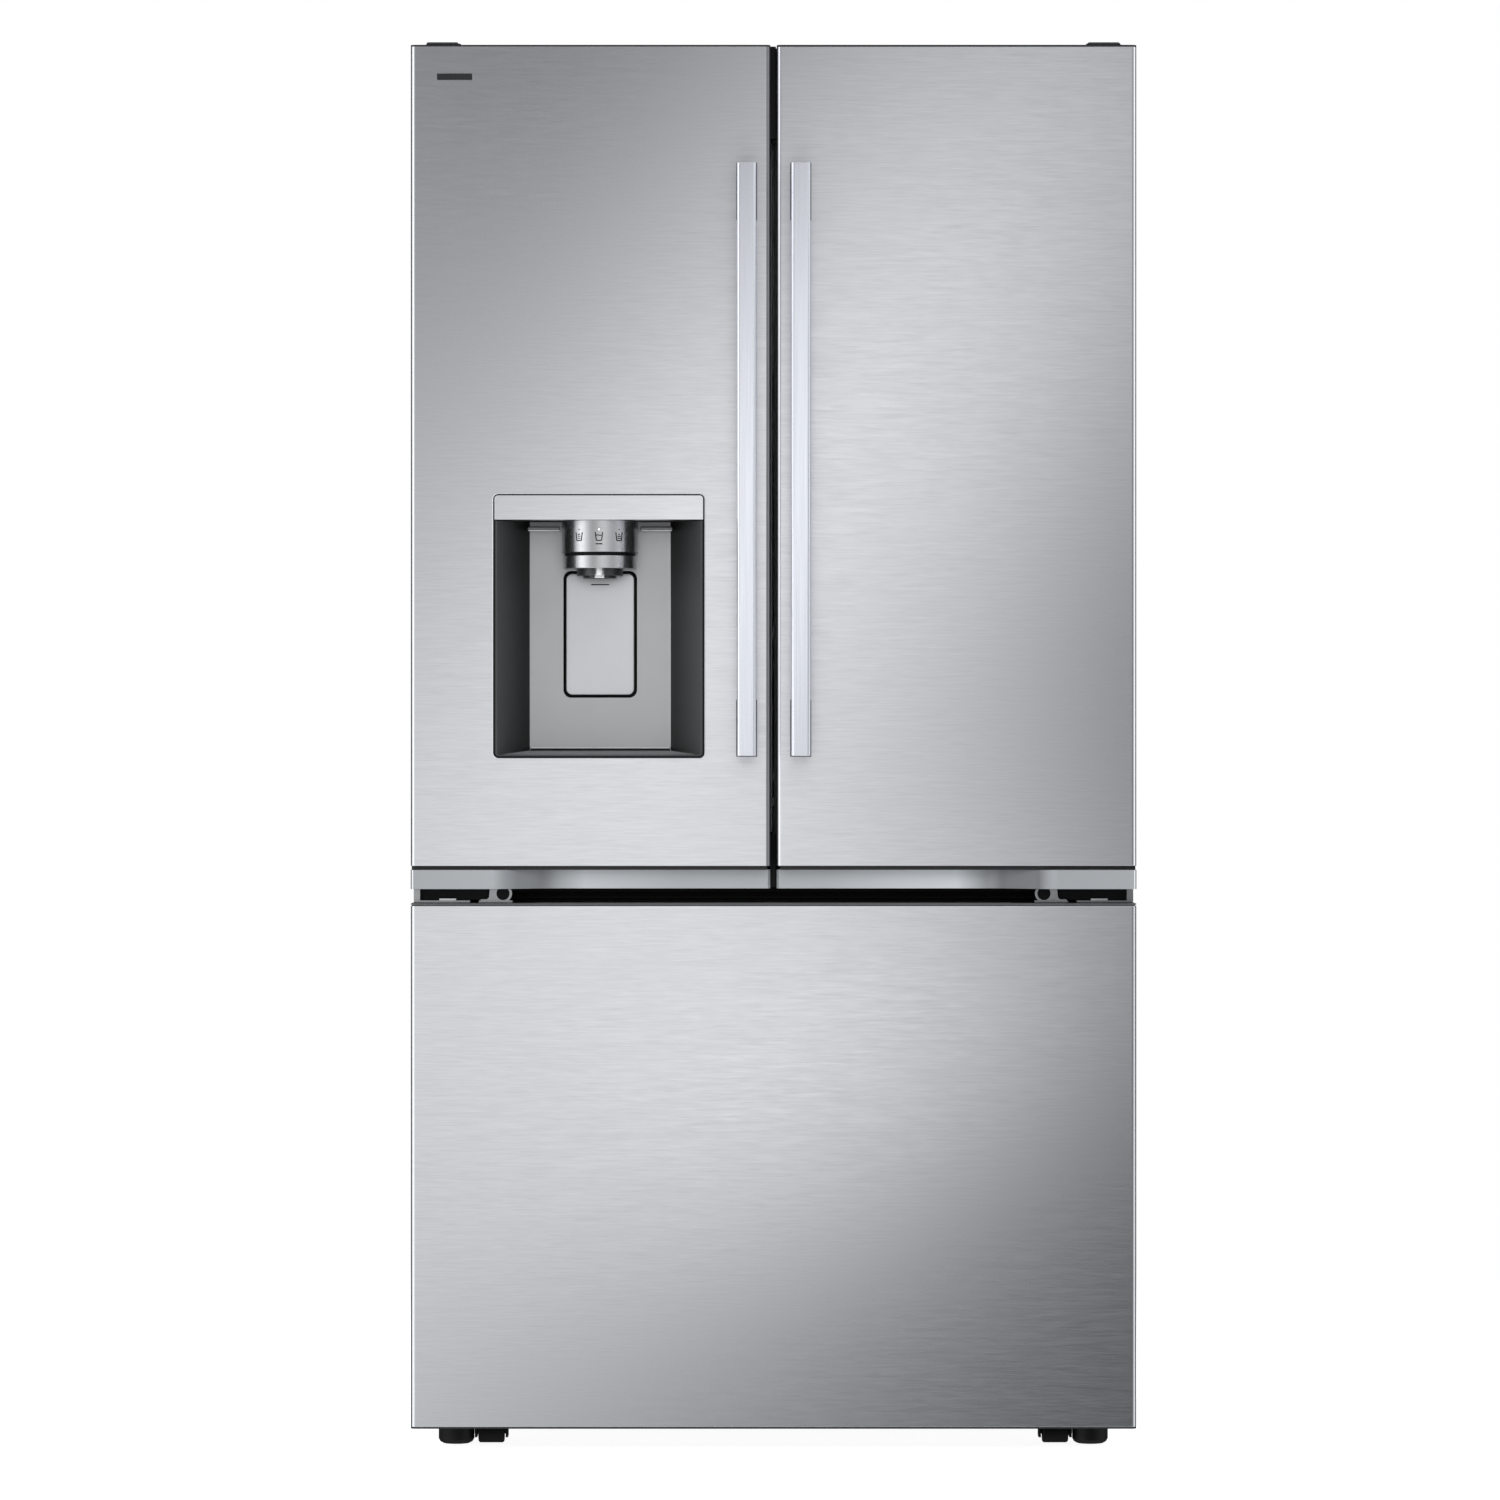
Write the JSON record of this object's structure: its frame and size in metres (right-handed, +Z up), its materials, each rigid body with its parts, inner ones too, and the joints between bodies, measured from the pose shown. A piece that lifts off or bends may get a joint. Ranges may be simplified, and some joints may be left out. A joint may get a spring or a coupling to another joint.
{
  "type": "french door refrigerator",
  "caption": "French door refrigerator: two hinged upper doors, ice and water dispenser in the left one, over a full-width freezer drawer.",
  "frame": {"origin": "on the floor, at the middle of the overall width and depth", "axes": "+X to the right as seen from the front, +Y from the front to the back, +Z up"},
  "size_m": [0.908, 0.796, 1.78],
  "materials": {
    "stainless": "horizontally brushed",
    "handle_metal": "satin anodised",
    "trim_grey": "satin grey",
    "case_grey": "fine textured grey",
    "galvanised": "zinc plated",
    "foam": "rigid foam, hidden",
    "white_liner": "gloss",
    "basket_white": "satin",
    "clear_plastic": "clear moulded",
    "shelf_glass": "tempered",
    "gasket_grey": "matt",
    "mullion_grey": "satin",
    "dispenser_grey": "satin grey",
    "paddle_grey": "satin",
    "spout_dark": "satin",
    "black_plastic": "moulded",
    "roller_black": "worn at the tread",
    "dark_steel": "black enamel",
    "screw_steel": "zinc plated",
    "brass_fitting": "machined"
  },
  "bodies": {
    "cabinet": {"cabinet_shell": "case_grey", "insulation_panels": "foam", "fridge_liner": "white_liner", "freezer_liner": "white_liner", "back_panel": "case_grey", "center_crossbar": "black_plastic", "base_frame": "dark_steel", "hinge_brackets": "galvanised", "hinge_covers": "black_plastic", "hinge_screws": "screw_steel", "glass_shelves": "shelf_glass", "shelf_frames": "white_liner", "air_ducts": "white_liner", "freezer_rails": "galvanised", "machine_cover": "galvanised", "compressor": "dark_steel", "condenser": "dark_steel", "fan_shroud": "black_plastic", "rear_ports": "brass_fitting"},
    "left_door": {"left_door_skin": "stainless", "left_door_insulation": "foam", "left_door_liner": "white_liner", "left_door_caps": "trim_grey", "left_door_gasket": "gasket_grey", "left_handle": "handle_metal", "left_handle_mounts": "handle_metal", "left_door_bins": "clear_plastic", "dispenser_housing": "dispenser_grey", "dispenser_head": "stainless", "dispenser_spout": "spout_dark", "ice_compartment": "white_liner"},
    "right_door": {"right_door_skin": "stainless", "right_door_insulation": "foam", "right_door_liner": "white_liner", "right_door_caps": "trim_grey", "right_door_gasket": "gasket_grey", "right_handle": "handle_metal", "right_handle_mounts": "handle_metal", "right_door_bins": "clear_plastic"},
    "mullion": {"mullion": "mullion_grey"},
    "dispenser_paddle": {"dispenser_paddle": "paddle_grey"},
    "freezer_drawer": {"drawer_skin": "stainless", "drawer_insulation": "foam", "drawer_liner": "white_liner", "drawer_caps": "trim_grey", "drawer_gasket": "gasket_grey", "drawer_rails": "galvanised", "freezer_basket": "basket_white"},
    "drawer_mid_rails": {"drawer_mid_rails": "galvanised"},
    "upper_freezer_basket": {"upper_freezer_basket": "basket_white"},
    "left_crisper": {"left_crisper": "clear_plastic"},
    "right_crisper": {"right_crisper": "clear_plastic"},
    "pantry_drawer": {"pantry_drawer": "clear_plastic"},
    "condenser_fan": {"condenser_fan": "black_plastic"},
    "left_leveling_leg": {"left_leveling_leg": "black_plastic"},
    "right_leveling_leg": {"right_leveling_leg": "black_plastic"},
    "front_left_roller": {"front_left_roller": "roller_black"},
    "front_right_roller": {"front_right_roller": "roller_black"},
    "rear_left_roller": {"rear_left_roller": "roller_black"},
    "rear_right_roller": {"rear_right_roller": "roller_black"}
  },
  "joints": [
    {"name": "left_door_swing", "type": "hinge", "parent": "cabinet", "child": "left_door", "pos_m": [-0.432, -0.27, 1.2], "axis": [0, 0, -1], "range_deg": [0, 120]},
    {"name": "right_door_swing", "type": "hinge", "parent": "cabinet", "child": "right_door", "pos_m": [0.432, -0.27, 1.2], "axis": [0, 0, 1], "range_deg": [0, 120]},
    {"name": "mullion_fold", "type": "hinge", "parent": "left_door", "child": "mullion", "pos_m": [-0.046, -0.212, 1.2], "axis": [0, 0, 1], "range_deg": [0, 90]},
    {"name": "dispenser_paddle_press", "type": "hinge", "parent": "left_door", "child": "dispenser_paddle", "pos_m": [-0.2185, -0.2565, 1.096], "axis": [1, 0, 0], "range_deg": [0, 5], "stiffness_Nm_per_rad": 1.5},
    {"name": "freezer_drawer_slide", "type": "slide", "parent": "cabinet", "child": "freezer_drawer", "axis": [0, -1, 0], "range_m": [0, 0.4]},
    {"name": "drawer_mid_rail_slide", "type": "slide", "parent": "cabinet", "child": "drawer_mid_rails", "axis": [0, -1, 0], "range_m": [0, 0.2]},
    {"name": "upper_basket_slide", "type": "slide", "parent": "cabinet", "child": "upper_freezer_basket", "axis": [0, -1, 0], "range_m": [0, 0.095]},
    {"name": "left_crisper_slide", "type": "slide", "parent": "cabinet", "child": "left_crisper", "axis": [0, -1, 0], "range_m": [0, 0.095]},
    {"name": "right_crisper_slide", "type": "slide", "parent": "cabinet", "child": "right_crisper", "axis": [0, -1, 0], "range_m": [0, 0.095]},
    {"name": "pantry_drawer_slide", "type": "slide", "parent": "cabinet", "child": "pantry_drawer", "axis": [0, -1, 0], "range_m": [0, 0.095]},
    {"name": "condenser_fan_spin", "type": "hinge", "parent": "cabinet", "child": "condenser_fan", "pos_m": [-0.02, 0.27, 0.16], "axis": [1, 0, 0], "continuous": true},
    {"name": "left_leg_turn", "type": "hinge", "parent": "cabinet", "child": "left_leveling_leg", "pos_m": [-0.4015, -0.226, 0.02], "axis": [0, 0, 1], "continuous": true},
    {"name": "right_leg_turn", "type": "hinge", "parent": "cabinet", "child": "right_leveling_leg", "pos_m": [0.4015, -0.226, 0.02], "axis": [0, 0, 1], "continuous": true},
    {"name": "front_left_roller_spin", "type": "hinge", "parent": "cabinet", "child": "front_left_roller", "pos_m": [-0.357, -0.228, 0.0155], "axis": [1, 0, 0], "continuous": true},
    {"name": "front_right_roller_spin", "type": "hinge", "parent": "cabinet", "child": "front_right_roller", "pos_m": [0.357, -0.228, 0.0155], "axis": [1, 0, 0], "continuous": true},
    {"name": "rear_left_roller_spin", "type": "hinge", "parent": "cabinet", "child": "rear_left_roller", "pos_m": [-0.38, 0.33, 0.0185], "axis": [1, 0, 0], "continuous": true},
    {"name": "rear_right_roller_spin", "type": "hinge", "parent": "cabinet", "child": "rear_right_roller", "pos_m": [0.38, 0.33, 0.0185], "axis": [1, 0, 0], "continuous": true}
  ],
  "couplings": [
    {"joint": "mullion_fold", "follows": "left_door_swing", "ratio": 0.75},
    {"joint": "drawer_mid_rail_slide", "follows": "freezer_drawer_slide", "ratio": 0.5}
  ]
}
